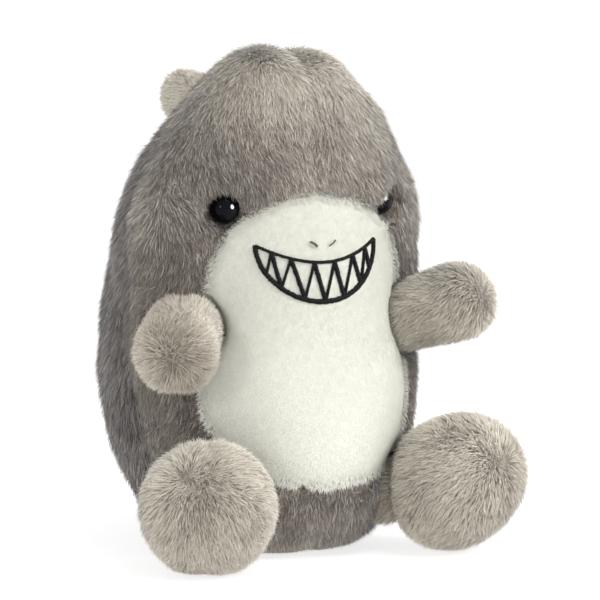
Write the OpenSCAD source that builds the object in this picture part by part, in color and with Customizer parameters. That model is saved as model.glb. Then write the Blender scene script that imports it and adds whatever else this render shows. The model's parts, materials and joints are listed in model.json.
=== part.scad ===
// Plush shark, seated. It faces -Y, its left is +X, and it sits on the plane z = 0.
// Sizes are those of the sewn fabric. The fur stands a few millimetres proud of it.

/* [Body] */
// Height of the body, from the floor to the crown
body_h = 119; // [100:1:145]
// Greatest width of the body
body_w = 74; // [61:1:86]
// Greatest depth of the body, from belly to back
body_d = 76; // [66:1:88]
// Radius of the flat base that the toy sits on
base_r = 21; // [18:0.5:24]
// Thickness of the fur fabric
skin_t = 1.6; // [1.2:0.1:2]
// How far the muzzle stands out from the face
muzzle_out = 3.2; // [1:0.1:5]

/* [Face] */
// Radius of an eye dome
eye_r = 3.4; // [2.5:0.1:4.2]
// Angle of each eye round the head, from straight ahead
eye_angle = 40; // [36:1:46]
// How deep each eye is drawn into the face
eye_inset = 2.2; // [0.5:0.1:2.6]
// Height of the eyes
eye_z = 82.8; // [80:0.2:86]
// Way that each eye faces, in degrees from straight ahead
eye_yaw = 38; // [30:1:50]
// Radius of the post behind an eye
eye_post_r = 1.1; // [0.8:0.1:1.4]
// Radius of the washer that locks an eye
eye_washer_r = 3.4; // [2.8:0.1:4]
// Width of the grin between its corners
mouth_w = 32; // [26:0.2:36]
// Height of the corners of the grin
mouth_z = 74.2; // [72:0.2:78]
// Drop of the upper lip line below the corners
lip_drop = 4.3; // [3:0.1:6]
// Drop of the lower lip line below the corners
jaw_drop = 13.5; // [12:0.1:16]
// Width of the embroidery thread
thread_w = 0.8; // [0.5:0.1:1]

/* [Arms] */
// Length of an arm from the shoulder to its tip
arm_len = 21.5; // [18:0.5:26]
// Radius of an arm near its tip
arm_r = 8.6; // [7:0.1:9.5]
// Radius of an arm at the shoulder
shoulder_r = 7.8; // [6:0.1:8]
// Height of the shoulders
shoulder_z = 54.5; // [52:0.5:57]
// Angle of each shoulder round the body, from straight ahead
shoulder_angle = 56; // [52:1:60]
// Way that each arm points, in degrees from straight ahead
arm_yaw = 38; // [30:1:50]
// How far the right and the left arm point up, in degrees
arm_raise = [-17, 17];

/* [Feet] */
// Radius of a foot
foot_r = 14.9; // [12.4:0.1:18]
// Distance from the hip to the near side of a foot
foot_stand = 2.7; // [2:0.1:5]
// Radius of a foot where it is sewn to the body
hip_r = 8; // [6.5:0.1:8.4]
// Height of the hips
hip_z = 14; // [12.5:0.5:16]
// Angle of each hip round the body, from straight ahead
hip_angle = 48; // [46:1:52]
// Way that each foot points, in degrees from straight ahead
foot_yaw = 43; // [38:1:50]

/* [Dorsal fin] */
// Length of the fin along the back
fin_root = 18; // [16:0.5:22]
// How far the fin stands out from the back
fin_out = 19; // [15:0.5:24]
// How far the tip of the fin sweeps down towards the tail
fin_sweep = 5.5; // [4:0.5:10]
// Thickness of the fin
fin_t = 6.4; // [5:0.1:8]

/* [Tail] */
// Length of the tail along the back
tail_root = 17; // [13:0.5:19]
// How far the tail stands out from the back
tail_out = 18; // [14:0.5:21]
// Height of the tail between its two tips
tail_span = 30; // [24:1:34]
// Thickness of the tail
tail_t = 8; // [6:0.1:10]

/* [Filling] */
// Radius of the pellet pouch
pouch_r = 17; // [13:0.1:20.5]
// Height of the pellet pouch
pouch_h = 24; // [18:0.5:26]
// Thickness of the pouch cloth
pouch_t = 0.8; // [0.5:0.1:1.2]

/* [Clearances] */
// Gap between a limb and the pocket that it turns in
limb_gap = 1.5; // [1.2:0.1:2]
// Gap between pieces that are sewn or stuffed side by side
sewn_gap = 0.15; // [0.1:0.05:0.3]

/* [Hidden] */
$fn = 48;

RIGHT = -1;
LEFT = 1;
grey = [0.47, 0.44, 0.42];
dark_grey = [0.38, 0.35, 0.35];
pale_grey = [0.72, 0.68, 0.64];
white = [0.95, 0.94, 0.91];
thread_black = [0.04, 0.04, 0.05];
fibre = [0.93, 0.93, 0.9];

// Shape of the body: height, half width, centre, front and back. Heights are shares of
// body_h, half widths are shares of body_w / 2, and the rest are shares of body_d.
body_rows = [
    [0.033, 0.69, 0.01, -0.37, 0.34],
    [0.085, 0.78, 0.02, -0.44, 0.40],
    [0.165, 0.90, 0.03, -0.48, 0.45],
    [0.27, 0.97, 0.03, -0.48, 0.49],
    [0.37, 1.00, 0.03, -0.45, 0.51],
    [0.48, 1.00, -0.01, -0.39, 0.48],
    [0.57, 1.00, -0.04, -0.36, 0.42],
    [0.665, 0.98, -0.05, -0.35, 0.36],
    [0.75, 0.90, -0.07, -0.35, 0.33],
    [0.835, 0.77, -0.09, -0.35, 0.26],
    [0.9, 0.63, -0.11, -0.34, 0.17],
    [0.945, 0.48, -0.12, -0.31, 0.09],
    [0.975, 0.34, -0.13, -0.27, 0.02],
    [0.992, 0.18, -0.13, -0.20, -0.05],
    [1, 0, -0.13, -0.13, -0.13]
];
// Heights of the rings that the panels are drawn on, as shares of body_h.
ring_shares = [
    0, 0.035, 0.08, 0.14, 0.15, 0.165, 0.195, 0.24, 0.3, 0.36, 0.43, 0.49, 0.54,
    0.58, 0.615, 0.65, 0.68, 0.7, 0.715, 0.725, 0.76, 0.8, 0.84, 0.86, 0.88, 0.893, 0.903,
    0.911, 0.917, 0.935, 0.955, 0.974, 0.988, 0.996, 1
];
TOP = len(ring_shares) - 1;
BELLY_FIRST = 3;
BELLY_LAST = 19;
BACK_LAST = 28;
// Half angle of the white panel at the heights where it changes, from its chin to its brow.
belly_rows = [
    [0.14, 0], [0.15, 20], [0.165, 32], [0.195, 43], [0.3, 53], [0.49, 50],
    [0.615, 43], [0.65, 38], [0.68, 31], [0.7, 24], [0.715, 15], [0.725, 0]
];
// Angle of the seam between a side panel and the back panel.
seam_rows = [
    [0, 80], [0.25, 80], [0.43, 85], [0.55, 90], [0.72, 99], [0.84, 111],
    [0.86, 118], [0.88, 128], [0.893, 138], [0.903, 150], [0.911, 164], [0.917, 180]
];
BELLY_COLS = 14;
SIDE_COLS = 9;
BACK_COLS = 12;
muzzle_z = 0.59 * body_h;
muzzle_high = 0.115 * body_h;
muzzle_half = 0.22 * body_w;
stand_off = 0.3;
thread_t = 0.5;
shank_len = skin_t + 4;
washer_t = 1;
floor_gap = 0.3;
fin_gap = 0.6;
tail_gap = 0.6;
fin_root_r = fin_t / 2;
tail_root_r = tail_t / 2;
hip_pocket = hip_r + limb_gap / 2;
shoulder_pocket = shoulder_r + limb_gap;
pouch_base = 6;
split_z = pouch_base + pouch_h + sewn_gap;

// Slope of column c at row i of a table whose first column is the height.
function slope(t, i, c) =
    let (a = max(i - 1, 0), b = min(i + 1, len(t) - 1))
    (t[b][c] - t[a][c]) / (t[b][0] - t[a][0]);

// Column c of a table at height h, on a smooth curve through its rows.
function smooth(t, h, c, i = 0) =
    h <= t[0][0] ? t[0][c]
    : h >= t[len(t) - 1][0] ? t[len(t) - 1][c]
    : h > t[i + 1][0] ? smooth(t, h, c, i + 1)
    : let (
        s = t[i + 1][0] - t[i][0],
        u = (h - t[i][0]) / s,
        v = 1 - u
    )
    t[i][c] * (1 + 2 * u) * v * v + t[i + 1][c] * u * u * (3 - 2 * u)
    + s * (slope(t, i, c) * u * v * v - slope(t, i + 1, c) * u * u * v);

// Half width, centre, front and back of the body at height share h.
base_row = [0, base_r / (body_w / 2), 0, -base_r / body_d, base_r / body_d];
shape = concat([base_row], body_rows);
function half_w(h) = smooth(shape, h, 1) * body_w / 2;
function centre_y(h) = smooth(shape, h, 2) * body_d;
function front_y(h) = smooth(shape, h, 3) * body_d;
function back_y(h) = smooth(shape, h, 4) * body_d;
function belly_half(h) = lookup(h, belly_rows);
function seam_at(h) = lookup(h, seam_rows);

// The muzzle's bulge at a place x and z on the front of the body.
function muzzle(x, z) =
    muzzle_out * exp(-pow(x / muzzle_half, 2)) * exp(-pow((z - muzzle_z) / muzzle_high, 2));

// A point of the outer surface at height share h, a degrees from straight ahead towards the left.
function surf(h, a) =
    let (
        x = half_w(h) * sin(a),
        reach = cos(a) > 0 ? centre_y(h) - front_y(h) : back_y(h) - centre_y(h),
        bulge = cos(a) > 0 ? muzzle(x, h * body_h) : 0
    )
    [x, centre_y(h) - reach * cos(a) - bulge, h * body_h];

// A point of the front surface at a place x and z, standing out by d.
function face_point(x, z, d = 0) =
    let (
        h = z / body_h,
        a = asin(x / half_w(h)),
        p = surf(h, a),
        q = surf(h, a + 1),
        r = surf(h + 0.01, a),
        n = cross(q - p, r - p)
    )
    p + d * n / norm(n);

// A surface point moved inwards by the fabric, towards the middle of the stuffing.
function inside(p, h, t = skin_t) =
    let (
        z = h == 0 ? p[2] : min(max(p[2], 0.2 * body_h), 0.75 * body_h),
        aim = [0, centre_y(z / body_h), z],
        d = aim - p
    )
    p + t * d / norm(d);

// Angles of the columns of one panel at height share h.
function spread(a, b, n) = [for (i = [0:n]) a + (b - a) * i / n];
function belly_cols(h) = spread(-belly_half(h), belly_half(h), BELLY_COLS);
function side_cols(h) = spread(belly_half(h), seam_at(h), SIDE_COLS);
function back_cols(h) = spread(seam_at(h), 360 - seam_at(h), BACK_COLS);
function whole_cols(h) =
    concat(
        [for (a = belly_cols(h)) a],
        [for (i = [1:SIDE_COLS]) side_cols(h)[i]],
        [for (i = [1:BACK_COLS]) back_cols(h)[i]],
        [for (i = [1:SIDE_COLS - 1]) 360 - side_cols(h)[SIDE_COLS - i]]
    );
function cols(kind, h) =
    kind == "belly" ? belly_cols(h)
    : kind == "side" ? side_cols(h)
    : back_cols(h);

// Triangles of the quad a b c d of points p, split along its shorter diagonal, without those
// that have shrunk to a line.
function quad(p, a, b, c, d) =
    let (split = norm(p[a] - p[c]) <= norm(p[b] - p[d]) ? [[a, b, c], [a, c, d]] : [[a, b, d], [b, c, d]])
    [for (t = split) if (t[0] != t[1] && t[1] != t[2] && t[0] != t[2]) t];
function joined(lists) = [for (l = lists) for (x = l) x];

// One sewn panel: the stretch of the body's skin between rings j0 and j1.
module panel(kind, j0, j1, closed_first, closed_last) {
    n = len(cols(kind, 0.5));
    rings = j1 - j0 + 1;
    outer = [for (j = [j0:j1]) let (h = ring_shares[j]) for (a = cols(kind, h)) surf(h, a)];
    inner = [for (j = [j0:j1]) let (h = ring_shares[j]) for (a = cols(kind, h)) inside(surf(h, a), h)];
    points = concat(outer, inner);
    function at(j, i) = (j == 0 && closed_first) || (j == rings - 1 && closed_last) ? j * n : j * n + i;
    function in(j, i) = at(j, i) + n * rings;
    skin = [for (j = [0:rings - 2]) for (i = [0:n - 2])
        quad(points, at(j, i), at(j + 1, i), at(j + 1, i + 1), at(j, i + 1))];
    lining = [for (j = [0:rings - 2]) for (i = [0:n - 2])
        quad(points, in(j, i), in(j, i + 1), in(j + 1, i + 1), in(j + 1, i))];
    edges = [for (j = [0:rings - 2]) concat(
        quad(points, at(j, 0), in(j, 0), in(j + 1, 0), at(j + 1, 0)),
        quad(points, at(j, n - 1), at(j + 1, n - 1), in(j + 1, n - 1), in(j, n - 1)))];
    ends = [for (i = [0:n - 2]) concat(
        quad(points, at(0, i), at(0, i + 1), in(0, i + 1), in(0, i)),
        quad(points, at(rings - 1, i), in(rings - 1, i), in(rings - 1, i + 1), at(rings - 1, i + 1)))];
    polyhedron(points, joined(concat(skin, lining, edges, ends)), convexity = 6);
}

// Everything inside the skin, as one solid.
module inside_of_skin() {
    n = BELLY_COLS + 2 * SIDE_COLS + BACK_COLS;
    rows = [for (h = ring_shares) whole_ring(h)];
    points = [for (j = [0:TOP - 1]) for (p = rows[j]) p];
    crown = len(points);
    walls = [for (j = [0:TOP - 2]) for (i = [0:n - 1])
        quad(points, j * n + i, (j + 1) * n + i, (j + 1) * n + (i + 1) % n, j * n + (i + 1) % n)];
    lid = [for (i = [0:n - 1]) [(TOP - 1) * n + i, crown, (TOP - 1) * n + (i + 1) % n]];
    polyhedron(
        concat(points, [inside(surf(1, 0), 1)]),
        concat(joined(walls), lid, [[for (i = [0:n - 1]) i]]),
        convexity = 6);
}
function whole_ring(h) = [for (a = whole_cols(h)) inside(surf(h, a), h)];

module on_side(side) {
    if (side == RIGHT) mirror([1, 0, 0]) children();
    else children();
}

// Where limbs meet the body, for the left side.
shoulder = surf(shoulder_z / body_h, shoulder_angle);
hip = surf(hip_z / body_h, hip_angle);
module limb_pockets() {
    translate(shoulder) sphere(shoulder_pocket);
    translate(hip) sphere(hip_pocket);
}

eye_seat = surf(eye_z / body_h, eye_angle);
module at_eye() {
    translate(eye_seat) rotate([0, 0, eye_yaw]) rotate([90, 0, 0])
        translate([0, 0, -eye_inset]) children();
}
module eye_holes() {
    at_eye() {
        translate([0, 0, -shank_len - 1]) cylinder(h = shank_len + 4, r = eye_post_r + sewn_gap);
        translate([0, 0, -0.4]) cylinder(h = 6, r = eye_r + sewn_gap);
        translate([0, 0, -shank_len - 1]) cylinder(h = washer_t + 2, r = eye_washer_r + sewn_gap);
    }
}

// Body.
module side_panel(side) {
    color(grey) on_side(side) difference() {
        panel("side", 0, TOP, false, true);
        limb_pockets();
        eye_holes();
    }
}
module side_panel_right() { side_panel(RIGHT); }
module side_panel_left() { side_panel(LEFT); }
module back_panel() {
    color(dark_grey) panel("back", 0, BACK_LAST, false, true);
}
module belly_panel() {
    color(white) difference() {
        panel("belly", BELLY_FIRST, BELLY_LAST, true, true);
        for (side = [RIGHT, LEFT]) on_side(side) {
            limb_pockets();
            eye_holes();
        }
    }
}
module base_panel() {
    color(dark_grey) cylinder(h = skin_t, r = base_r - skin_t - 2 * sewn_gap);
}
module stuffing_block() {
    color(fibre) difference() {
        inside_of_skin();
        for (side = [RIGHT, LEFT]) on_side(side) {
            limb_pockets();
            eye_holes();
        }
        translate([-base_r, -base_r, -1]) cube([2 * base_r, 2 * base_r, 1 + skin_t + sewn_gap]);
    }
}
module head_stuffing() {
    intersection() {
        stuffing_block();
        translate([-body_w, -body_d, split_z]) cube([2 * body_w, 2 * body_d, body_h]);
    }
}
module body_stuffing() {
    difference() {
        stuffing_block();
        translate([-body_w, -body_d, split_z - sewn_gap]) cube([2 * body_w, 2 * body_d, body_h]);
        translate([0, 0, pouch_base - sewn_gap]) cylinder(h = pouch_h + 1, r = pouch_r + sewn_gap);
    }
}
module pouch_profile(inset) {
    r = pouch_r - inset;
    high = pouch_h - inset;
    corner = 5 - inset;
    translate([0, inset]) square([r - corner, high - inset]);
    translate([0, inset + corner]) square([r, high - inset - 2 * corner]);
    for (z = [inset + corner, high - corner]) translate([r - corner, z]) circle(corner);
}
module pouch_solid(inset) {
    translate([0, 0, pouch_base]) rotate_extrude() pouch_profile(inset);
}
module pellet_pouch() {
    color(fibre) difference() {
        pouch_solid(0);
        pouch_solid(pouch_t);
    }
}
module pellets() {
    color("gainsboro") pouch_solid(pouch_t);
}

// Face.
module eye(side) {
    color(thread_black) on_side(side) at_eye() {
        rotate_extrude() intersection() {
            translate([0, -0.9]) circle(eye_r + 0.25);
            translate([0, -0.2]) square([eye_r, eye_r + 1]);
        }
        translate([0, 0, -shank_len]) cylinder(h = shank_len, r = eye_post_r);
    }
}
module eye_right() { eye(RIGHT); }
module eye_left() { eye(LEFT); }
module eye_washer(side) {
    color("dimgray") on_side(side) at_eye() difference() {
        translate([0, 0, -shank_len + 0.6]) cylinder(h = washer_t, r = eye_washer_r);
        translate([0, 0, -shank_len]) cylinder(h = shank_len, r = eye_post_r + 0.02);
    }
}
module eye_washer_right() { eye_washer(RIGHT); }
module eye_washer_left() { eye_washer(LEFT); }

// A line of thread on the face through a list of [x, z] places, as wide as thread_w.
module thread_line(path, w = thread_w) {
    n = len(path);
    points = [for (d = [stand_off, stand_off + thread_t]) for (s = [-1, 1]) for (i = [0:n - 1])
        let (
            a = path[max(i - 1, 0)],
            b = path[min(i + 1, n - 1)],
            t = (b - a) / norm(b - a),
            p = path[i] + s * w / 2 * [-t[1], t[0]]
        )
        face_point(p[0], p[1], d)];
    // Corners of section i: inner low, inner high, outer low, outer high.
    function il(i) = i;
    function ih(i) = n + i;
    function ol(i) = 2 * n + i;
    function oh(i) = 3 * n + i;
    sides = [for (i = [0:n - 2]) concat(
        quad(points, il(i), ih(i), ih(i + 1), il(i + 1)),
        quad(points, ol(i), ol(i + 1), oh(i + 1), oh(i)),
        quad(points, il(i), il(i + 1), ol(i + 1), ol(i)),
        quad(points, ih(i), oh(i), oh(i + 1), ih(i + 1)))];
    caps = [quad(points, il(0), ol(0), oh(0), ih(0)), quad(points, il(n - 1), ih(n - 1), oh(n - 1), ol(n - 1))];
    polyhedron(points, joined(concat(sides, caps)), convexity = 4);
}
function upper_lip(x, clear = 0) = mouth_z - lip_drop * (1 - pow(2 * x / mouth_w, 2)) - clear;
function lower_lip(x, clear = 0) =
    mouth_z - (jaw_drop - clear) * sqrt(max(0, 1 - pow(x / (mouth_w / 2 - clear), 2)));
LIP_STEPS = 14;
tooth_w = 0.6 * thread_w;
lip_clear = thread_w / 2 + tooth_w;
// Feet of the teeth on the upper and the lower lip, as shares of half the mouth.
tooth_tops = [-0.79, -0.52, -0.17, 0.17, 0.52, 0.79];
tooth_tips = [-0.87, -0.67, -0.33, 0, 0.33, 0.67, 0.87];
// One side of a tooth: a short line between the lips, clear of both and of its neighbour.
module tooth_side(x_top, x_tip) {
    shift = sign(x_top - x_tip) * (tooth_w / 2 + sewn_gap);
    top = [x_top - shift, upper_lip(x_top - shift, lip_clear)];
    tip = [x_tip + shift, lower_lip(x_tip + shift, lip_clear)];
    thread_line([for (i = [0:3]) tip + (top - tip) * i / 3], tooth_w);
}
module mouth_embroidery() {
    half = mouth_w / 2;
    end = half - 1.5 * thread_w;
    color(thread_black) {
        thread_line([for (i = [0:LIP_STEPS]) let (x = end * (2 * i / LIP_STEPS - 1)) [x, upper_lip(x)]]);
        thread_line([for (i = [0:LIP_STEPS]) let (a = 180 * i / LIP_STEPS)
            [-half * cos(a), mouth_z - jaw_drop * sin(a)]]);
        for (i = [0:len(tooth_tops) - 1]) for (tip = [tooth_tips[i], tooth_tips[i + 1]])
            tooth_side(half * tooth_tops[i], half * tip);
    }
}
module nostril_stitches() {
    color(thread_black) for (side = [-1, 1])
        thread_line(
            [[side * 3.4, mouth_z + 0.6], [side * 2.5, mouth_z - 0.1], [side * 1.6, mouth_z - 0.6]],
            tooth_w);
}
// Ladder stitches that close the stuffing hole, low on the seam of the back panel.
module closing_stitches() {
    color(dark_grey) for (i = [0:5]) {
        h = 0.16 + 0.03 * i;
        p = surf(h, seam_at(h));
        translate(p) rotate([0, 0, -6]) translate([0.55, 0, 0]) cube([0.8, 3, 0.7], center = true);
    }
}

// A sewn limb: an outline of circles about its axis, which is Z and starts at its pivot.
function arc(y, r, a, b, n = 12) = [for (i = [0:n]) let (t = a + (b - a) * i / n) [r * cos(t), y + r * sin(t)]];
module arm_outline(inset) {
    reach = arm_len - arm_r;
    lean = asin((arm_r - shoulder_r) / reach);
    polygon(concat(arc(0, shoulder_r - inset, -90, -lean), arc(reach, arm_r - inset, -lean, 90)));
}
module foot_outline(inset) {
    intersection() {
        union() {
            circle(hip_r - inset);
            translate([0, foot_reach]) circle(foot_r - inset);
        }
        translate([0, -hip_r]) square([2 * foot_r, foot_reach + foot_r + hip_r]);
    }
}
module half_turn(first) {
    rotate([0, 0, first]) rotate_extrude(angle = 180) children();
}
module place_arm(side) {
    raise = arm_raise[side == RIGHT ? 0 : 1];
    on_side(side) translate(shoulder) rotate([0, 0, arm_yaw - 90]) rotate([0, 90 - raise, 0]) children();
}
foot_reach = foot_r + foot_stand;
foot_lift = asin((foot_r + floor_gap - hip_z) / foot_reach);
module place_foot(side) {
    on_side(side) translate(hip) rotate([0, 0, foot_yaw - 90]) rotate([0, 90 - foot_lift, 0]) children();
}
module arm_half(side, first) {
    color(pale_grey) place_arm(side) half_turn(first) difference() {
        arm_outline(0);
        arm_outline(skin_t);
    }
}
module arm_stuffing(side) {
    color(fibre) place_arm(side) rotate_extrude() arm_outline(skin_t);
}
module foot_half(side, first) {
    color(pale_grey) place_foot(side) half_turn(first) difference() {
        foot_outline(0);
        foot_outline(skin_t);
    }
}
module foot_stuffing(side) {
    color(fibre) place_foot(side) rotate_extrude() foot_outline(skin_t);
}
module arm_right_front() { arm_half(RIGHT, 180); }
module arm_right_back() { arm_half(RIGHT, 0); }
module arm_right_stuffing() { arm_stuffing(RIGHT); }
module arm_left_front() { arm_half(LEFT, 180); }
module arm_left_back() { arm_half(LEFT, 0); }
module arm_left_stuffing() { arm_stuffing(LEFT); }
module foot_right_inner() { foot_half(RIGHT, 180); }
module foot_right_outer() { foot_half(RIGHT, 0); }
module foot_right_stuffing() { foot_stuffing(RIGHT); }
module foot_left_inner() { foot_half(LEFT, 180); }
module foot_left_outer() { foot_half(LEFT, 0); }
module foot_left_stuffing() { foot_stuffing(LEFT); }

// Fins. Each is drawn flat: x runs out from the back, y runs up along it, and z is its thickness.
function bend(a, b, c, n) = [for (i = [1:n]) let (u = i / n, v = 1 - u) v * v * a + 2 * v * u * b + u * u * c];
function fin_points(inset) =
    let (
        r = fin_root / 2 - inset,
        tip = [fin_out - inset, -fin_sweep]
    )
    concat(
        [[0, -r], [0, r]],
        bend([0, r], [fin_out * 0.5, r * 0.45], tip + [-2.5, 5.5 - inset], 6),
        bend(tip + [-2.5, 5.5 - inset], tip + [0.6, 3], tip + [0, -1], 3),
        bend(tip + [0, -1], tip + [-1.5, -5 + inset], tip + [-6, -5 + inset], 3),
        bend(tip + [-6, -5 + inset], [fin_out * 0.35, -r * 0.9], [0, -r], 5)
    );
function tail_points(inset) =
    let (
        r = tail_root / 2 - inset,
        neck = tail_root * 0.36 - inset,
        tip = tail_span / 2 - inset,
        far = tail_out - inset
    )
    concat(
        [[0, -r], [0, r]],
        bend([0, r], [tail_out * 0.3, neck], [tail_out * 0.42, tip * 0.62], 4),
        bend([tail_out * 0.42, tip * 0.62], [tail_out * 0.6, tip], [far - 2, tip], 4),
        bend([far - 2, tip], [far + 1.5, tip - 1], [far - 1, tip - 6], 3),
        [[tail_out * 0.72, 0]],
        bend([tail_out * 0.72, 0], [far - 2, 6 - tip], [far - 1, 6 - tip], 3),
        bend([far - 1, 6 - tip], [far + 1.5, 1 - tip], [far - 2, -tip], 3),
        bend([far - 2, -tip], [tail_out * 0.6, -tip], [tail_out * 0.42, -tip * 0.62], 4),
        bend([tail_out * 0.42, -tip * 0.62], [tail_out * 0.3, -neck], [0, -r], 4)
    );
// Both fins stand off the back by their root's radius and lean with the back's slope.
module on_back(z, reach, stand) {
    low = surf((z - reach) / body_h, 180);
    high = surf((z + reach) / body_h, 180);
    mid = surf(z / body_h, 180);
    slant = atan2(high[1] - low[1], high[2] - low[2]);
    translate([0, mid[1], z]) rotate([-slant, 0, 0]) translate([0, stand, 0])
        rotate([90, 0, 90]) children();
}
FIN_Z = 0.83 * body_h;
TAIL_Z = 0.23 * body_h;
module fin_solid(points, root, root_r) {
    translate([0, 0, -root_r]) linear_extrude(2 * root_r) polygon(points);
    rotate([90, 0, 0]) cylinder(h = root, r = root_r, center = true);
}
// Layers of a fin through its thickness: -1 and 1 are its two panels, 0 is its filling.
module fin_layer(layer, root_r) {
    half = root_r - skin_t;
    low = layer == 0 ? -half : layer < 0 ? -root_r : half;
    high = layer == 0 ? half : layer < 0 ? -half : root_r;
    intersection() {
        children();
        translate([-50, -50, low]) cube([100, 100, high - low]);
    }
}
module dorsal_fin(layer, tint) {
    color(tint) on_back(FIN_Z, fin_root / 2, fin_root_r + fin_gap)
        fin_layer(layer, fin_root_r) fin_solid(fin_points(0), fin_root, fin_root_r);
}
module tail(layer, tint) {
    color(tint) on_back(TAIL_Z, tail_root / 2, tail_root_r + tail_gap)
        fin_layer(layer, tail_root_r) fin_solid(tail_points(0), tail_root, tail_root_r);
}
module dorsal_fin_right() { dorsal_fin(-1, pale_grey); }
module dorsal_fin_left() { dorsal_fin(1, pale_grey); }
module dorsal_fin_stuffing() { dorsal_fin(0, fibre); }
module tail_right() { tail(-1, dark_grey); }
module tail_left() { tail(1, dark_grey); }
module tail_stuffing() { tail(0, fibre); }

side_panel_right();
side_panel_left();
back_panel();
belly_panel();
base_panel();
head_stuffing();
body_stuffing();
pellet_pouch();
pellets();
eye_right();
eye_left();
eye_washer_right();
eye_washer_left();
mouth_embroidery();
nostril_stitches();
closing_stitches();
arm_right_front();
arm_right_back();
arm_right_stuffing();
arm_left_front();
arm_left_back();
arm_left_stuffing();
foot_right_inner();
foot_right_outer();
foot_right_stuffing();
foot_left_inner();
foot_left_outer();
foot_left_stuffing();
dorsal_fin_right();
dorsal_fin_left();
dorsal_fin_stuffing();
tail_right();
tail_left();
tail_stuffing();
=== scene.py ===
import json
import math

import bmesh
import bpy
import numpy as np
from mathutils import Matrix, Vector
from mathutils.bvhtree import BVHTree
from mathutils.kdtree import KDTree


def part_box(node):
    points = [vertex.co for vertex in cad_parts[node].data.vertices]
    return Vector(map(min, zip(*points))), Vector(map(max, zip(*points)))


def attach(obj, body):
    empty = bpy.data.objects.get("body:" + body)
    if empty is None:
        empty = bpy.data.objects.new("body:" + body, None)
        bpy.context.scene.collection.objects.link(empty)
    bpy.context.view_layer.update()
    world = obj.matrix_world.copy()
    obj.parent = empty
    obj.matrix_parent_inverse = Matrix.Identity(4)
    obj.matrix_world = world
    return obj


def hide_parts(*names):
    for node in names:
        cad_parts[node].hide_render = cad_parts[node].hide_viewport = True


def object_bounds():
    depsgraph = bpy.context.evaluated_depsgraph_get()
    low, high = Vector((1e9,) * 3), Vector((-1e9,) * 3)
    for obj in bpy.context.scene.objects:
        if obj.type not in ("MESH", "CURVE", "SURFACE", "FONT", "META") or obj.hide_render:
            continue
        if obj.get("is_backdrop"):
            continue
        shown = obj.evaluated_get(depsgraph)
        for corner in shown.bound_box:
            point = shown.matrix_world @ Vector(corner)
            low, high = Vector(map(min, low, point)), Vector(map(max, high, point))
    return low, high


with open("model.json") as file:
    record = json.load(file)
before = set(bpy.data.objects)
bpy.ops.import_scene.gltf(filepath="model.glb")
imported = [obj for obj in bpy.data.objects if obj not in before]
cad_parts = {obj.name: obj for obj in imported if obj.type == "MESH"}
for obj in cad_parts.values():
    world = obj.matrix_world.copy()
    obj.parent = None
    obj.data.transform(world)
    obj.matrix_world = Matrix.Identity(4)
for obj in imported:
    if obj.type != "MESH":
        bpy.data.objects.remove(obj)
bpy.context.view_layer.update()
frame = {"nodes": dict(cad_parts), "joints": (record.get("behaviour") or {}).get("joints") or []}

MM = 0.001


# Small helpers.
def unit(v):
    return v / np.maximum(np.linalg.norm(v, axis=-1, keepdims=True), 1e-12)


def flat_on(v, normal):
    """The part of v that lies on a surface, at length 1."""
    return unit(v - (v * normal).sum(1, keepdims=True) * normal)


def fade(value, low, high):
    """0 below low, 1 above high, and smooth between."""
    t = np.clip((value - low) / (high - low), 0, 1)
    return t * t * (3 - 2 * t)


def near(points, place, reach):
    """1 at a place, falling smoothly to 0 over a few times reach."""
    return np.exp(-(((points - place) ** 2).sum(1)) / reach ** 2)[:, None]


def drift(points, size, seed):
    """A smooth value from about -1 to 1 that changes over a distance of size."""
    rng = np.random.default_rng(seed)
    value = np.zeros(len(points))
    for _ in range(5):
        way = unit(rng.normal(size=3)) * rng.uniform(0.6, 1.5) * math.pi / size
        value += np.sin(points @ way + rng.uniform(0, 2 * math.pi))
    return value / 2.6


def flow(points, size, seed):
    """Three drifts as one vector."""
    return np.stack([drift(points, size, seed + k) for k in range(3)], 1)


def places(obj):
    co = np.empty(len(obj.data.vertices) * 3)
    obj.data.vertices.foreach_get("co", co)
    return co.reshape(-1, 3)


def set_places(obj, co):
    obj.data.vertices.foreach_set("co", np.asarray(co, np.float32).ravel())
    obj.data.update()


def vertex_normals(obj):
    no = np.empty(len(obj.data.vertices) * 3, np.float32)
    obj.data.vertex_normals.foreach_get("vector", no)
    return no.reshape(-1, 3).astype(float)


def quads_of(obj):
    corners = np.empty(len(obj.data.loops), np.int32)
    obj.data.loops.foreach_get("vertex_index", corners)
    return corners.reshape(-1, 4)


def tree_of(obj):
    me = obj.data
    return BVHTree.FromPolygons([v.co for v in me.vertices], [p.vertices for p in me.polygons])


def pick(*objs):
    bpy.ops.object.select_all(action="DESELECT")
    for o in objs:
        o.select_set(True)
    bpy.context.view_layer.objects.active = objs[0]


def apply_modifiers(obj):
    pick(obj)
    for m in list(obj.modifiers):
        bpy.ops.object.modifier_apply(modifier=m.name)


def linked(name, me):
    obj = bpy.data.objects.new(name, me)
    bpy.context.scene.collection.objects.link(obj)
    return obj


def new_piece(name, points, faces):
    me = bpy.data.meshes.new(name)
    me.from_pydata([tuple(p) for p in points], [], [tuple(int(i) for i in f) for f in faces])
    me.update()
    me.shade_smooth()
    return linked(name, me)


def copy_of(name, nodes):
    """One mesh of copies of these nodes, with their doubles merged."""
    bm = bmesh.new()
    for node in nodes:
        bm.from_mesh(frame["nodes"][node].data)
    bmesh.ops.remove_doubles(bm, verts=bm.verts, dist=1e-6)
    me = bpy.data.meshes.new(name)
    bm.to_mesh(me)
    bm.free()
    return linked(name, me)


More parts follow.
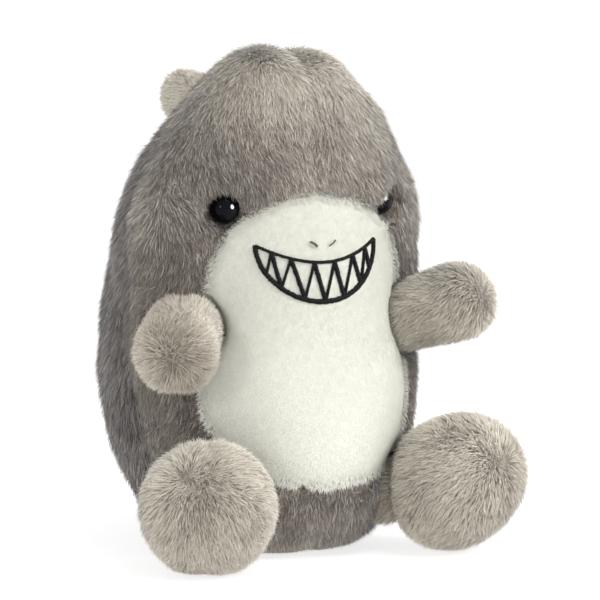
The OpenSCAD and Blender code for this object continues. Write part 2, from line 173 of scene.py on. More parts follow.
def keep_outer_shell(obj):
    """Drops all but the tallest of the closed shells in a mesh."""
    bm = bmesh.new()
    bm.from_mesh(obj.data)
    left = set(bm.verts)
    shells = []
    while left:
        start = left.pop()
        shell, edge = {start}, [start]
        while edge:
            for e in edge.pop().link_edges:
                for v in e.verts:
                    if v in left:
                        left.discard(v)
                        shell.add(v)
                        edge.append(v)
        shells.append(shell)
    biggest = max(shells, key=lambda s: max(v.co.z for v in s) - min(v.co.z for v in s))
    bmesh.ops.delete(bm, geom=[v for v in bm.verts if v not in biggest], context="VERTS")
    bm.to_mesh(obj.data)
    bm.free()


def remeshed(name, nodes, grid):
    """The outer skin of these nodes together, as an even grid of quads."""
    obj = copy_of(name, nodes)
    m = obj.modifiers.new("Grid", "REMESH")
    m.mode = "VOXEL"
    m.voxel_size = grid
    apply_modifiers(obj)
    keep_outer_shell(obj)
    return obj


def smooth(obj, factor, times):
    m = obj.modifiers.new("Smooth", "SMOOTH")
    m.factor = factor
    m.iterations = times
    apply_modifiers(obj)


def subdivide(obj, levels=1):
    m = obj.modifiers.new("Subdivision", "SUBSURF")
    m.levels = m.render_levels = levels
    apply_modifiers(obj)


BLOW_UP = 10  # the cloth is blown up at ten times its size, where its stiffness suits it
CLOTH_FRAMES = 20
HELD_LEAST = 0.02  # below this a point is not held at all


def blow_up(obj, held, pressure, most):
    """Cloth filled under pressure with its seams held. most is how far a point may move."""
    start = places(obj)
    set_places(obj, start * BLOW_UP)
    group = obj.vertex_groups.new(name="held")
    for i, w in enumerate(held):
        if w > HELD_LEAST:
            group.add([i], float(min(w, 1)), "REPLACE")
    m = obj.modifiers.new("Filling", "CLOTH")
    m.settings.quality = 5
    m.settings.use_pressure = True
    m.settings.uniform_pressure_force = pressure
    m.settings.effector_weights.gravity = 0
    m.settings.vertex_group_mass = "held"
    m.point_cache.frame_start = 1
    m.point_cache.frame_end = CLOTH_FRAMES
    scene = bpy.context.scene
    for f in range(1, CLOTH_FRAMES + 1):
        scene.frame_set(f)
    apply_modifiers(obj)
    scene.frame_set(1)
    move = places(obj) / BLOW_UP - start
    far = np.linalg.norm(move, axis=1)
    most = np.broadcast_to(most, far.shape)
    set_places(obj, start + move * (np.minimum(far, most) / np.maximum(far, 1e-9))[:, None])
    obj.vertex_groups.clear()


def distances(points, nodes):
    """Distance of each point from each of these CAD nodes."""
    out = np.empty((len(points), len(nodes)))
    for k, node in enumerate(nodes):
        copy = copy_of("measure", [node])
        tree = tree_of(copy)
        out[:, k] = [tree.find_nearest(Vector(p))[3] for p in points]
        bpy.data.objects.remove(copy)
    return out


def seams(points, nodes, depths):
    """How deep the nearest seam is drawn in, and how far off it is. depths are by pair of nodes."""
    far = distances(points, nodes)
    order = np.argsort(far, axis=1)
    off = far[np.arange(len(far)), order[:, 1]]
    table = np.full((len(nodes), len(nodes)), depths.get("other", 0.0))
    for pair, depth in depths.items():
        if pair != "other":
            a, b = nodes.index(pair[0]), nodes.index(pair[1])
            table[a, b] = table[b, a] = depth
    return table[order[:, 0], order[:, 1]], off


def cut_panels(obj, nodes):
    """Labels the faces by panel and fairs the edges between them. Returns the labels."""
    co, quads = places(obj), quads_of(obj)
    label = distances(co[quads].mean(1), nodes).argmin(1)
    edges = {}
    for f, q in enumerate(quads):
        for k in range(4):
            edges.setdefault(tuple(sorted((q[k], q[(k + 1) % 4]))), []).append(f)
    rim = [e for e, fs in edges.items() if len(fs) == 2 and label[fs[0]] != label[fs[1]]]
    mates = {}
    for a, b in rim:
        mates.setdefault(a, []).append(b)
        mates.setdefault(b, []).append(a)
    tree = tree_of(obj)
    for _ in range(10):
        moved = {v: co[m].mean(0) * 0.5 + co[v] * 0.5 for v, m in mates.items() if len(m) == 2}
        for v, p in moved.items():
            co[v] = tree.find_nearest(Vector(p))[0]
    set_places(obj, co)
    return label


def panel_piece(name, skin, which, thick):
    """The faces of one panel as a closed skin with a real thickness."""
    quads = skin["quads"][skin["label"] == which]
    used, index = np.unique(quads, return_inverse=True)
    obj = new_piece(name, skin["co"][used], index.reshape(-1, 4))
    m = obj.modifiers.new("Thickness", "SOLIDIFY")
    m.thickness = thick
    m.offset = -1
    m.use_even_offset = False
    apply_modifiers(obj)
    return obj


def skin_of(obj, nodes):
    """A form as arrays of places, normals, quads and panel labels."""
    label = cut_panels(obj, nodes)
    return {"co": places(obj), "no": vertex_normals(obj), "quads": quads_of(obj), "label": label}


# Materials.
def srgb(r, g, b):
    """A screen colour, each part from 0 to 255, as a linear colour."""
    def linear(c):
        c /= 255
        return c / 12.92 if c <= 0.04045 else ((c + 0.055) / 1.055) ** 2.4
    return (linear(r), linear(g), linear(b), 1)


def set_inputs(node, values):
    for name, value in values.items():
        node.inputs[name].default_value = value


def material(name):
    mat = bpy.data.materials.new(name)
    mat.use_nodes = True
    return mat, mat.node_tree, mat.node_tree.nodes["Principled BSDF"]


def ramp(tree, stops):
    """A colour ramp from (place, colour) stops."""
    node = tree.nodes.new("ShaderNodeValToRGB")
    node.color_ramp.elements[0].position = stops[0][0]
    node.color_ramp.elements[0].color = stops[0][1]
    node.color_ramp.elements[1].position = stops[-1][0]
    node.color_ramp.elements[1].color = stops[-1][1]
    for at, colour in stops[1:-1]:
        node.color_ramp.elements.new(at).color = colour
    return node


def mixed(tree, factor, a, b):
    """The colour a turned to b by a factor. Each may be a socket or a fixed value."""
    node = tree.nodes.new("ShaderNodeMix")
    node.data_type = "RGBA"
    for socket, value in ((node.inputs[0], factor), (node.inputs[6], a), (node.inputs[7], b)):
        if isinstance(value, bpy.types.NodeSocket):
            tree.links.new(value, socket)
        else:
            socket.default_value = value
    return node.outputs[2]


def object_place(tree):
    return tree.nodes.new("ShaderNodeTexCoord").outputs["Object"]


def noise(tree, scale, detail, coordinates=None):
    node = tree.nodes.new("ShaderNodeTexNoise")
    set_inputs(node, {"Scale": scale, "Detail": detail})
    tree.links.new(coordinates or object_place(tree), node.inputs["Vector"])
    return node.outputs[0]


def bump(tree, shader, height, strength, distance):
    node = tree.nodes.new("ShaderNodeBump")
    set_inputs(node, {"Strength": strength, "Distance": distance})
    tree.links.new(height, node.inputs["Height"])
    tree.links.new(node.outputs[0], shader.inputs["Normal"])


def pile_material(name, dark, light, rough=0.75, sheen=1.0):
    """Fur coloured along its strands. dark and light are (root, middle, tip) of the two shades."""
    mat, tree, shader = material(name)
    uv = tree.nodes.new("ShaderNodeUVMap")
    uv.uv_map = "pile"
    split = tree.nodes.new("ShaderNodeSeparateXYZ")
    tree.links.new(uv.outputs[0], split.inputs[0])
    shades = []
    for colours in (dark, light):
        shade = ramp(tree, [(0.05, colours[0]), (0.5, colours[1]), (0.95, colours[2])])
        tree.links.new(split.outputs[1], shade.inputs[0])
        shades.append(shade.outputs[0])
    tree.links.new(mixed(tree, split.outputs[0], *shades), shader.inputs["Base Color"])
    set_inputs(shader, {"Roughness": rough, "Sheen Weight": sheen, "Sheen Roughness": 0.3,
                        "Specular IOR Level": 0.3})
    return mat


def backing_material(name, dark, light):
    """Knitted backing that the pile stands on."""
    mat, tree, shader = material(name)
    tree.links.new(mixed(tree, noise(tree, 900, 4), dark, light), shader.inputs["Base Color"])
    knit = tree.nodes.new("ShaderNodeTexWave")
    set_inputs(knit, {"Scale": 420, "Distortion": 3})
    tree.links.new(object_place(tree), knit.inputs["Vector"])
    bump(tree, shader, knit.outputs[0], 0.5, 0.0003)
    set_inputs(shader, {"Roughness": 0.95, "Sheen Weight": 0.2})
    return mat


GREY = [srgb(50, 44, 41), srgb(92, 84, 78), srgb(128, 119, 111)]
GREY_LIGHT = [srgb(112, 103, 95), srgb(206, 196, 182), srgb(250, 244, 232)]
DARK = [srgb(50, 46, 46), srgb(84, 78, 78), srgb(112, 106, 105)]
DARK_LIGHT = [srgb(92, 86, 84), srgb(164, 157, 152), srgb(214, 208, 201)]
PALE = [srgb(98, 89, 79), srgb(152, 143, 129), srgb(188, 179, 164)]
PALE_LIGHT = [srgb(146, 137, 124), srgb(218, 211, 196), srgb(252, 247, 235)]

grey_pile = pile_material("grey pile", GREY, GREY_LIGHT)
dark_pile = pile_material("dark grey pile", DARK, DARK_LIGHT)
pale_pile = pile_material("pale grey pile", PALE, PALE_LIGHT)
white_pile = pile_material(
    "white pile",
    [srgb(195, 195, 185), srgb(201, 201, 190), srgb(205, 205, 194)],
    [srgb(232, 232, 221), srgb(239, 239, 228), srgb(243, 243, 233)],
    sheen=0.15)
grey_backing = backing_material("grey backing", srgb(78, 72, 68), srgb(98, 91, 86))
dark_backing = backing_material("dark grey backing", srgb(64, 60, 60), srgb(82, 77, 76))
pale_backing = backing_material("pale grey backing", srgb(132, 122, 112), srgb(158, 148, 137))


def plush_material():
    """White short pile over the face and the belly."""
    mat, tree, shader = material("white plush")
    soft = mixed(tree, noise(tree, 60, 2), srgb(201, 201, 189), srgb(207, 207, 195))
    fine = noise(tree, 3800, 3)
    tree.links.new(mixed(tree, fine, soft, srgb(212, 212, 201)), shader.inputs["Base Color"])
    bump(tree, shader, fine, 0.35, 0.0003)
    set_inputs(shader, {"Roughness": 0.9, "Sheen Weight": 0.4, "Sheen Roughness": 0.5})
    return mat


def fibre_material():
    """Loose polyester fibre, streaked along its height."""
    mat, tree, shader = material("fibre fill")
    stretch = tree.nodes.new("ShaderNodeMapping")
    stretch.inputs["Scale"].default_value = (1, 1, 0.2)
    tree.links.new(object_place(tree), stretch.inputs["Vector"])
    threads = noise(tree, 1500, 6, stretch.outputs[0])
    shade = mixed(tree, threads, srgb(205, 205, 200), srgb(250, 250, 248))
    tree.links.new(shade, shader.inputs["Base Color"])
    bump(tree, shader, threads, 0.8, 0.0006)
    set_inputs(shader, {"Roughness": 0.95, "Sheen Weight": 0.5})
    return mat


def thread_material(name, dark, light, rough):
    """Twisted thread with fine plies across it."""
    mat, tree, shader = material(name)
    plies = noise(tree, 5200, 2)
    tree.links.new(mixed(tree, plies, dark, light), shader.inputs["Base Color"])
    bump(tree, shader, plies, 0.4, 0.0001)
    set_inputs(shader, {"Roughness": rough, "Specular IOR Level": 0.2})
    return mat


def woven_material():
    """Plain woven cloth of the pellet pouch."""
    mat, tree, shader = material("pouch cloth")
    place = object_place(tree)
    heights = []
    for turn in ("X", "Z"):
        wave = tree.nodes.new("ShaderNodeTexWave")
        wave.bands_direction = turn
        set_inputs(wave, {"Scale": 500, "Distortion": 0.6})
        tree.links.new(place, wave.inputs["Vector"])
        heights.append(wave.outputs[0])
    weave = mixed(tree, 0.5, heights[0], heights[1])
    shade = mixed(tree, weave, srgb(196, 190, 178), srgb(232, 228, 218))
    tree.links.new(shade, shader.inputs["Base Color"])
    bump(tree, shader, weave, 0.6, 0.0002)
    shader.inputs["Roughness"].default_value = 0.9
    return mat


def moulded_material(name, dark, light, rough, ior, specular=0.5):
    """Moulded plastic with uneven gloss, from rough to a little rougher."""
    mat, tree, shader = material(name)
    tree.links.new(mixed(tree, noise(tree, 300, 2), dark, light), shader.inputs["Base Color"])
    dull = rough * 1.6
    worn = ramp(tree, [(0.3, (rough, rough, rough, 1)), (0.8, (dull, dull, dull, 1))])
    tree.links.new(noise(tree, 700, 4), worn.inputs[0])
    tree.links.new(worn.outputs[0], shader.inputs["Roughness"])
    set_inputs(shader, {"IOR": ior, "Specular IOR Level": specular})
    return mat


white_plush = plush_material()
fibre = fibre_material()
pouch_cloth = woven_material()
black_thread = thread_material("black thread", srgb(5, 5, 6), srgb(20, 20, 22), 0.5)
grey_thread = thread_material("grey thread", srgb(66, 62, 60), srgb(110, 104, 100), 0.7)
eye_gloss = moulded_material("eye gloss", srgb(1, 1, 2), srgb(3, 3, 4), 0.03, 1.42, 0.12)
washer_plastic = moulded_material("washer plastic", srgb(40, 40, 42), srgb(62, 62, 64), 0.35, 1.46)
pellet_plastic = moulded_material("pellet plastic", srgb(196, 204, 206), srgb(236, 240, 240), 0.3, 1.46)


def finish_piece(obj, mat, body, nodes=()):
    """Gives a piece its material and body, and hides the nodes it replaces."""
    obj.data.materials.clear()
    obj.data.materials.append(mat)
    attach(obj, body)
    if nodes:
        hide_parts(*nodes)


def frosted(count, rng, share, gain):
    """Most strands a little darker, and a share of them much lighter."""
    light = rng.random(count) < share
    return np.where(light, gain, -0.14) * rng.uniform(0.4, 1, count) + 0.12 * rng.normal(size=count)


# Fur. Each strand is a bent leaf of two faces, and its map holds its shade and its length.
STRAND_MAP = np.array([[0, 0], [1, 0.45], [-1, 0.45], [-1, 0.45], [1, 0.45], [0, 1]])
STRAND_FACES = np.array([0, 2, 1, 1, 2, 3])
STRAND_W = 0.12 * MM
CELL_ROW = 4001  # more than the tufts along any side of the toy


def strand_piece(name, root, normal, lie, length, lift, shade, width, gather, tuft, seed,
                 droop, rounded, roll=0.6):
    """Strands from roots, combed along lie and rising from the skin by lift degrees.

    The tips in each cell of size tuft gather to their middle. droop is the share of the lift that is left in
    the outer half, rounded turns the shading from the skin's way to the strand's own, and roll is its twist.
    """
    rng = np.random.default_rng(seed)
    n = len(root)
    low_lift = np.radians(lift)[:, None]
    high_lift = low_lift * droop
    half = length[:, None] / 2
    middle = root + half * (np.cos(low_lift) * lie + np.sin(low_lift) * normal)
    tip = middle + half * (np.cos(high_lift) * lie + np.sin(high_lift) * normal)
    cells = np.floor((root + rng.normal(0, tuft * 0.25, (n, 3))) / tuft).astype(np.int64)
    keys = (cells[:, 0] * CELL_ROW + cells[:, 1]) * CELL_ROW + cells[:, 2]
    _, group = np.unique(keys, return_inverse=True)
    size = np.bincount(group)
    pull = gather * rng.uniform(0.3, 1.3, len(size))[group][:, None]
    shade = shade + 0.09 * rng.normal(size=len(size))[group]
    for row, share in ((middle, 0.4), (tip, 1)):
        mean = np.stack([np.bincount(group, row[:, k]) / size for k in range(3)], 1)[group]
        row += share * pull * (mean - row)
    for row in (middle, tip):
        row[:, 2] = np.maximum(row[:, 2], 0.2 * MM + 0.4 * MM * rng.random(n))
    tangent = unit(tip - root)
    side = unit(np.cross(tangent, normal))
    turn = rng.normal(0, roll, n)[:, None]
    side = np.cos(turn) * side + np.sin(turn) * np.cross(side, tangent)
    wide = (width / 2 * rng.uniform(0.6, 1.4, n))[:, None] * side
    points = np.stack([root, middle - wide, middle + wide, tip], 1).reshape(-1, 3)
    faces = (np.arange(n)[:, None] * 4 + STRAND_FACES).ravel()
    me = bpy.data.meshes.new(name)
    me.vertices.add(len(points))
    me.vertices.foreach_set("co", points.astype(np.float32).ravel())
    me.loops.add(len(faces))
    me.loops.foreach_set("vertex_index", faces.astype(np.int32))
    me.polygons.add(n * 2)
    me.polygons.foreach_set("loop_start", np.arange(0, n * 6, 3, dtype=np.int32))
    me.update(calc_edges=True)
    me.shade_smooth()
    centre = 0.02 + 0.96 * np.clip(shade, 0, 1)[:, None]
    u = centre + 0.008 * STRAND_MAP[:, 0]
    v = np.broadcast_to(0.02 + 0.96 * STRAND_MAP[:, 1], u.shape)
    uv = np.stack([u, v], 2).astype(np.float32).ravel()
    for layer in ("pile", "OFBake"):
        me.uv_layers.new(name=layer).data.foreach_set("uv", uv)
    shown = unit((1 - rounded) * normal + rounded * unit(np.cross(side, tangent)))
    me.normals_split_custom_set_from_vertices(np.repeat(shown, 4, axis=0).astype(np.float32))
    return linked(name, me)


def roots_on(skin, which, count, seed, density):
    """Random places on some panels, with their normals. density thins them by place."""
    rng = np.random.default_rng(seed)
    quads = skin["quads"][np.isin(skin["label"], which)]
    tris = np.concatenate([quads[:, [0, 1, 2]], quads[:, [0, 2, 3]]])
    a, b, c = (skin["co"][tris[:, k]] for k in range(3))
    area = np.linalg.norm(np.cross(b - a, c - a), axis=1) * density((a + b + c) / 3)
    pick_of = rng.choice(len(tris), count, p=area / area.sum())
    u, v = rng.random(count), rng.random(count)
    over = u + v > 1
    u[over], v[over] = 1 - u[over], 1 - v[over]
    w = np.stack([1 - u - v, u, v], 1)[:, :, None]
    chosen = tris[pick_of]
    place = (skin["co"][chosen] * w).sum(1)
    return place, unit((skin["no"][chosen] * w).sum(1))


# Body: skins blown up with their seams drawn in.
PANELS = ["side_panel_right", "side_panel_left", "back_panel", "belly_panel", "base_panel"]
BODY_SEAMS = {
    ("side_panel_right", "back_panel"): 1.9 * MM,
    ("side_panel_left", "back_panel"): 1.9 * MM,
    ("side_panel_right", "side_panel_left"): 0.9 * MM,
    ("side_panel_right", "belly_panel"): 0.5 * MM,
    ("side_panel_left", "belly_panel"): 0.5 * MM,
    "other": 0.4 * MM,
}
SIDES = {"right": -1, "left": 1}


def middle_of(node):
    """The middle of a CAD node's box."""
    low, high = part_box(node)
    return (np.array(low) + np.array(high)) / 2


def pivot(joint):
    """The place of a joint."""
    return next(np.array(j["pos_m"]) for j in frame["joints"] if j["name"] == joint)


EYES = {side: middle_of(f"eye_{side}") for side in SIDES}
EYE_WAY = {side: unit(EYES[side] - middle_of(f"eye_washer_{side}")) for side in SIDES}
EYE_R = 3.4 * MM
SQUINT = {"right": 0.1, "left": 0.6}
BODY_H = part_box("side_panel_right")[1][2]
SHOULDERS = {side: pivot(f"arm_{side}_swing") for side in SIDES}
HIPS = {side: pivot(f"foot_{side}_splay") for side in SIDES}
SHOULDER_POCKET = 9.3 * MM
HIP_POCKET = 9.5 * MM
EYE_POCKET = 8 * MM
CHEEKS = {side: np.array([turn * 36.5, -13, 80.5]) * MM for side, turn in SIDES.items()}


def eye_seats(co):
    """Presses a shallow round seat for each eye."""
    for side in SIDES:
        base = EYES[side] - 1.6 * MM * EYE_WAY[side]
        out = (co - base) @ EYE_WAY[side]
        off = np.linalg.norm(co - base - out[:, None] * EYE_WAY[side], axis=1)
        limit = 0.1 * MM + 9 * MM * fade(off, EYE_R, 7.5 * MM)
        here = (off < EYE_POCKET) & (out > limit) & (out < 12 * MM)
        co[here] -= (out - limit)[here][:, None] * EYE_WAY[side]
    return co


body = remeshed("body form", PANELS + ["head_stuffing", "body_stuffing", "pellet_pouch", "pellets",
                "eye_washer_right", "eye_washer_left"], 2 * MM)
smooth(body, 0.5, 4)
depth, off = seams(places(body), PANELS, BODY_SEAMS)
held = np.exp(-((off / (3 * MM)) ** 2))
inward = depth * np.exp(-((off / (3.2 * MM)) ** 2)) + 0.8 * MM
co = places(body) - inward[:, None] * vertex_normals(body)
for side in SIDES:
    co += 1.3 * MM * near(co, CHEEKS[side], 9 * MM) * vertex_normals(body)
co[:, 0] *= 1 - 0.1 * fade(co[:, 2], 84 * MM, 112 * MM)
co[:, :2] *= 1 - 0.06 * (1 - fade(co[:, 2:], 6 * MM, 34 * MM))
set_places(body, co)
blow_up(body, held, 4, 0.6 * MM)
subdivide(body)
smooth(body, 0.5, 2)
co = places(body)
# The crown rises to the right of its seam and dips along the seam.
crown = fade(co[:, 2], 100 * MM, 114 * MM) * 1.3 * MM
co[:, 2] += crown * np.exp(-((co[:, 0] + 8 * MM) / (6 * MM)) ** 2)
co[:, 2] -= crown * np.exp(-((co[:, 0] - 0.5 * MM) / (3.5 * MM)) ** 2)
co = eye_seats(co)
co[:, 2] = np.maximum(co[:, 2], 0)
set_places(body, co)
skin = skin_of(body, PANELS)
bpy.data.objects.remove(body)
skin_tree = BVHTree.FromPolygons([Vector(p) for p in skin["co"]], skin["quads"].tolist())

SKIN_T = 1.1 * MM
RIGHT, LEFT, BACK, BELLY, BASE = range(5)
for which, mat, slot in (
    (RIGHT, grey_backing, "grey_fur"), (LEFT, grey_backing, "grey_fur"),
    (BACK, dark_backing, "dark_grey_fur"), (BELLY, white_plush, "white_plush"),
    (BASE, dark_backing, "dark_grey_fur"),
):
    piece = panel_piece(PANELS[which] + "_skin", skin, which, SKIN_T)
    finish_piece(piece, mat, "body", [PANELS[which]])

in_white = np.unique(skin["quads"][skin["label"] == BELLY])
in_grey = np.unique(skin["quads"][skin["label"] != BELLY])
white_edge = skin["co"][np.intersect1d(in_white, in_grey)]
BLOCK = 4000  # points measured at a time


def nearest_edge(points):
    """Which point on the edge of the white panel is the nearest."""
    out = np.zeros(len(points), dtype=np.int64)
    for start in range(0, len(points), BLOCK):
        block = points[start:start + BLOCK]
        out[start:start + BLOCK] = ((block[:, None, :] - white_edge[None]) ** 2).sum(2).argmin(1)
    return out


def to_white(points):
    """Distance from the edge of the white panel."""
    return np.linalg.norm(points - white_edge[nearest_edge(points)], axis=1)


def clear_of_limbs(points):
    """1 where fur can grow, and 0 in the pockets of arms and feet and under the eyes."""
    clear = np.ones(len(points))
    for side in SIDES:
        for place, reach in ((SHOULDERS[side], SHOULDER_POCKET), (HIPS[side], HIP_POCKET)):
            clear *= np.linalg.norm(points - place, axis=1) > reach
        clear *= np.linalg.norm(points - EYES[side], axis=1) > EYE_R - 0.15 * MM
    return clear


def body_lie(points, normal, seed):
    """The way the body's pile is combed: down, out from the cheeks, and clear of the eyes."""
    way = np.tile([0.0, -0.55, -1.0], (len(points), 1))
    way[:, 1] *= fade(points[:, 2], 60 * MM, 100 * MM)
    way[:, 0] += 0.3 * np.clip(points[:, 0] / (25 * MM), -1, 1)
    for side in SIDES:
        way += 0.9 * near(points, CHEEKS[side], 12 * MM) * unit(points - CHEEKS[side])
        way += 1.2 * near(points, EYES[side], 4 * MM) * unit(points - EYES[side])
    way = way + 0.3 * flow(points, 14 * MM, seed) + 0.2 * flow(points, 4 * MM, seed + 5)
    rng = np.random.default_rng(seed + 9)
    return flat_on(way + 0.34 * rng.normal(size=way.shape), normal)


PILE_LENGTH = 4.6 * MM


def off_eyes(points):
    """Distance from the nearer eye."""
    return np.minimum(*(np.linalg.norm(points - EYES[side], axis=1) for side in SIDES))


def body_fur(name, which, low, high, count, mat, seed, base_shade):
    """Long pile on one panel between two heights."""
    def density(points):
        return clear_of_limbs(points) * ((points[:, 2] >= low) & (points[:, 2] < high))
    root, normal = roots_on(skin, [which], count, seed, density)
    rng = np.random.default_rng(seed + 100)
    off_white = to_white(root)
    off_eye = off_eyes(root)
    length = PILE_LENGTH * rng.uniform(0.75, 1.15, count)
    length *= 0.36 + 0.64 * fade(off_white, 0, 5 * MM)
    length *= 0.42 + 0.58 * fade(off_eye, 3.5 * MM, 8 * MM)
    length *= 0.6 + 0.4 * fade(root[:, 2], 0, 8 * MM)
    lift = rng.normal(37, 9, count) + 7 * drift(root, 9 * MM, seed + 3)
    for side, turn in SIDES.items():
        inner = fade(-turn * (root - EYES[side])[:, 0], -1 * MM, 2 * MM)
        inner = inner * near(root, EYES[side], 6 * MM)[:, 0]
        length *= 1 + SQUINT[side] * 1.3 * inner
        lift += SQUINT[side] * 30 * inner
    lift -= 14 * fade(root[:, 2], 104 * MM, 114 * MM)
    shade = base_shade(root) + 0.14 * drift(root, 12 * MM, 40) + 0.05 * drift(root, 3 * MM, 41)
    shade += frosted(count, rng, 0.32, 0.62)
    stray = rng.random(count) < 0.05
    length[stray] *= 1.2
    lift[stray] += 8
    shade[stray] += 0.2
    obj = strand_piece(name, root, normal, body_lie(root, normal, seed), length, lift, shade,
                       STRAND_W, 0.26, 1.1 * MM, seed + 7, droop=0.55, rounded=0.35)
    finish_piece(obj, mat, "body")


def side_shade(points):
    """Lighter up the head, on the crown and on the cheeks, darker over the eyes and under the cheeks. The
    lightening up the head, towards the front, towards the toy's left and on the crown is painted light from
    above and from the key side; the darkening over the eyes and under the cheeks is painted shade.
    """
    high = fade(points[:, 2], 68 * MM, 112 * MM)
    left = np.clip(points[:, 0] / (26 * MM), -1, 1)
    # painted light: lighter up the head, towards the front and towards the toy's left, where the light from
    # above and from the key side falls
    shade = -0.06 + 0.28 * high + 0.16 * high * left + 0.1 * fade(-points[:, 1], 20 * MM, 34 * MM)
    # painted light on the crown, from above
    shade += 0.62 * fade(points[:, 2], 98 * MM, 116 * MM)
    for side in SIDES:
        shade += 0.5 * near(points, CHEEKS[side] + np.array([0, 2, 3]) * MM, 9 * MM)[:, 0]
        # painted shadow of the fold above each eye
        shade -= 0.2 * near(points, EYES[side] + np.array([-2 * SIDES[side], 0, 4]) * MM, 5 * MM)[:, 0]
        # painted shade under each cheek puff
        shade -= 0.1 * near(points, CHEEKS[side] - np.array([0, 6, 12]) * MM, 12 * MM)[:, 0]
    return shade


def back_shade(points):
    """A little lighter towards the top of the back."""
    return 0.24 + 0.12 * fade(points[:, 2], 50 * MM, 110 * MM)


FUR = 86000
BACK_FUR = 66000
NECK_Z, TOP_Z = 66 * MM, BODY_H + 5 * MM
BACK_MID_Z = 52 * MM
for side, which in (("right", RIGHT), ("left", LEFT)):
    body_fur(f"pile_{side}_flank", which, 0, NECK_Z, FUR, grey_pile, 11 + which, side_shade)
    body_fur(f"pile_{side}_head", which, NECK_Z, TOP_Z, FUR, grey_pile, 21 + which, side_shade)
body_fur("pile_back_low", BACK, 0, BACK_MID_Z, BACK_FUR, dark_pile, 31, back_shade)
body_fur("pile_back_high", BACK, BACK_MID_Z, BODY_H, BACK_FUR, dark_pile, 32, back_shade)


# White short pile over the face and the belly.
def belly_pile(count):
    """Short pile all over the white panel, longer and more upright along its edge."""
    mouth_tree = KDTree(len(mouth_line))
    for i, place in enumerate(mouth_line):
        mouth_tree.insert(place, i)
    mouth_tree.balance()

    def density(points):
        off_mouth = np.array([mouth_tree.find(p)[2] for p in points])
        return clear_of_limbs(points) * (off_mouth > 1.3 * MM)
    root, normal = roots_on(skin, [BELLY], count, 51, density)
    rng = np.random.default_rng(52)
    to_rim = white_edge[nearest_edge(root)] - root
    off_rim = np.linalg.norm(to_rim, axis=1)
    rim = 1 - fade(off_rim, 0.4 * MM, 2.6 * MM)
    outward = 2 * unit(to_rim) + 0.6 * rng.normal(size=root.shape)
    lie = flat_on(body_lie(root, normal, 53) + outward * rim[:, None], normal)
    clear = fade(off_eyes(root), 4 * MM, 9 * MM)
    length = (0.6 + 1.5 * rim * clear) * MM * rng.uniform(0.6, 1.2, count)
    # painted light: lighter towards the bottom, where the belly turns down away from the lights
    shade = 0.1 + 0.8 * (1 - fade(root[:, 2], 18 * MM, 60 * MM)) + 0.08 * drift(root, 12 * MM, 54)
    shade += 0.05 * rng.normal(size=count)
    lift = 9 + 33 * rim + rng.normal(0, 3, count)
    obj = strand_piece("pile_belly", root, normal, lie, length, lift, shade,
                       0.15 * MM, 0.05, 1 * MM, 55, droop=0.4, rounded=0.05, roll=0.1)
    finish_piece(obj, white_pile, "body")


# Arms, feet and fins: two panels each, blown up round their filling.
FOOT_WAY = np.array([0.866, -0.5, 0])  # out and forward, as the left foot points


def press(co, hip):
    """Pushes the left foot back and up, swells it, and takes off its low outer corner."""
    ball = hip + (co.max(0) + co.min(0) - 2 * hip) * [0.62, 0.62, 0.5]
    free = fade(np.linalg.norm(co - hip, axis=1), 4 * MM, 13 * MM)[:, None]
    way = unit(co - ball)
    corner = np.clip(way @ (0.72 * FOOT_WAY - [0, 0, 0.69]), 0, 1)[:, None] ** 2
    brow = np.clip(way @ (0.8 * FOOT_WAY + [0, 0, 0.6]), 0, 1)[:, None] ** 2
    move = 0.9 * way - 1.6 * FOOT_WAY + [0, 0, 0.5] - 2.2 * corner * way + brow * way
    return co + MM * free * move


def sewn_limb(body_name, nodes, filled, grid, swell, whorl, pinch, pressed_hip=None):
    """A limb's skin, its seams drawn in and its whorl by pinch, cut into panels."""
    form = remeshed(body_name + " form", nodes + [filled], grid)
    smooth(form, 0.5, 3)
    drawn, off = seams(places(form), nodes, {"other": 0.7 * MM})
    held = np.exp(-((off / (1.6 * MM)) ** 2))
    co = places(form) - (drawn * np.exp(-((off / (1.8 * MM)) ** 2)))[:, None] * vertex_normals(form)
    set_places(form, co)
    set_places(form, places(form) - 0.5 * MM * vertex_normals(form))
    blow_up(form, held, 4, swell)
    subdivide(form)
    co = places(form)
    co -= pinch * near(co, whorl, 4 * MM) * vertex_normals(form)
    if pressed_hip is not None:
        co = press(co, pressed_hip)
    co[:, 2] = np.maximum(co[:, 2], 0.1 * MM)
    set_places(form, co)
    limb = skin_of(form, nodes)
    bpy.data.objects.remove(form)
    for k, node in enumerate(nodes):
        piece = panel_piece(node + "_skin", limb, k, 0.9 * MM)
        finish_piece(piece, pale_backing, body_name, [node])
    return limb


def limb_pile(body_name, limb, root_place, root_reach, whorl, count, length, lift, seed, shade_at,
              mat, towards=None):
    """Pile on a limb except at its root, swept out of its whorl or, if given, along towards."""
    def density(points):
        return (np.linalg.norm(points - root_place, axis=1) > root_reach) * 1.0
    root, normal = roots_on(limb, [0, 1], count, seed, density)
    rng = np.random.default_rng(seed + 1)
    if towards is None:
        way = unit(root - whorl) + np.array([0, 0, -0.35])
    else:
        way = np.tile(towards, (count, 1))
    way = way + 0.45 * flow(root, 9 * MM, seed + 20) + 0.2 * flow(root, 3 * MM, seed + 30)
    lie = flat_on(way + 0.34 * rng.normal(size=way.shape), normal)
    shade = shade_at(root) + 0.16 * drift(root, 8 * MM, seed + 40) + 0.05 * drift(root, 2.5 * MM, seed + 41)
    shade += frosted(count, rng, 0.35, 0.36)
    lifts = rng.normal(lift, 10, count) + 5 * drift(root, 5 * MM, seed + 42)
    lengths = length * rng.uniform(0.75, 1.15, count)
    obj = strand_piece("pile_" + body_name, root, normal, lie, lengths, lifts, shade,
                       STRAND_W, 0.22, 1 * MM, seed + 3, droop=0.6, rounded=0.32)
    finish_piece(obj, mat, body_name)


